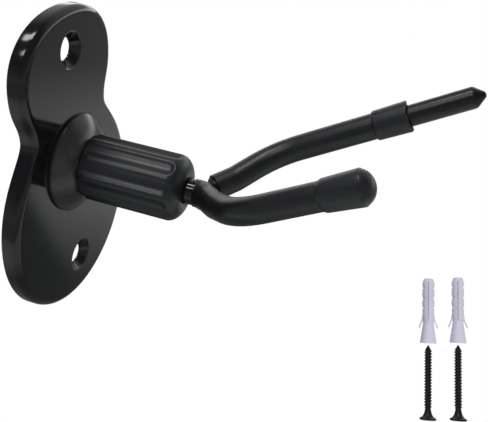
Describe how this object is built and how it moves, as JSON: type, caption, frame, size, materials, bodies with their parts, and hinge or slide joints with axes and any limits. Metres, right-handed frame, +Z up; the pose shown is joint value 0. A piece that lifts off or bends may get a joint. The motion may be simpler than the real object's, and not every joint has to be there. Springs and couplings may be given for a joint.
{
  "type": "wall guitar hanger",
  "caption": "Black wall hanger for a guitar: peanut-shaped plate, fluted grip on a swivelling spindle, and a rising yoke of two rods in soft tubes, with wall screws and plugs.",
  "frame": {"origin": "where the spindle's axis meets the wall", "axes": "+Z up, the wall face lies in Y = 0 with the wall on its +Y side, the hanger stands out along -Y, +X is right for a person facing the wall"},
  "size_m": [0.1565, 0.1961, 0.208],
  "materials": {
    "plate_enamel": "gloss black enamel",
    "grip_plastic": "satin black, fine moulded grain",
    "ring_enamel": "mirror-gloss black",
    "rod_enamel": "gloss black",
    "tube_rubber": "satin black, soft PVC",
    "cap_rubber": "satin black, moulded",
    "zinc_steel": "bright zinc",
    "bush_nylon": "natural nylon",
    "screw_black": "black phosphate",
    "plug_plastic": "lavender-grey moulded plastic"
  },
  "bodies": {
    "wall_bracket": {"wall_plate": "plate_enamel", "boss": "plate_enamel", "barrel": "zinc_steel", "rear_bush": "bush_nylon", "front_bush": "bush_nylon", "wall_plug_1": "plug_plastic", "wall_plug_2": "plug_plastic"},
    "yoke": {"spindle": "zinc_steel", "lock_nut": "zinc_steel", "spring_washer": "zinc_steel", "rear_washer": "zinc_steel", "thrust_washer": "zinc_steel", "neck_ring": "ring_enamel", "yoke_hub": "rod_enamel", "arm_rod_left": "rod_enamel", "arm_rod_right": "rod_enamel", "arm_tube_left": "tube_rubber", "arm_tube_right": "tube_rubber", "end_cap_left": "cap_rubber", "end_cap_right": "cap_rubber"},
    "grip": {"grip_sleeve": "grip_plastic"},
    "loose_screw_1": {"screw_1": "screw_black"},
    "loose_screw_2": {"screw_2": "screw_black"}
  },
  "joints": [
    {"name": "yoke_swivel", "type": "hinge", "parent": "wall_bracket", "child": "yoke", "pos_m": [0, -0.05, 0], "axis": [0, -1, 0], "continuous": true},
    {"name": "grip_turn", "type": "hinge", "parent": "wall_bracket", "child": "grip", "pos_m": [0, -0.03, 0], "axis": [0, -1, 0], "continuous": true},
    {"name": "screw_1_drive", "type": "slide", "parent": "wall_bracket", "child": "loose_screw_1", "axis": [0.6559, 0.227, 0.7199], "range_m": [0, 0.031]},
    {"name": "screw_2_drive", "type": "slide", "parent": "wall_bracket", "child": "loose_screw_2", "axis": [0.6559, 0.227, 0.7199], "range_m": [0, 0.031]}
  ]
}
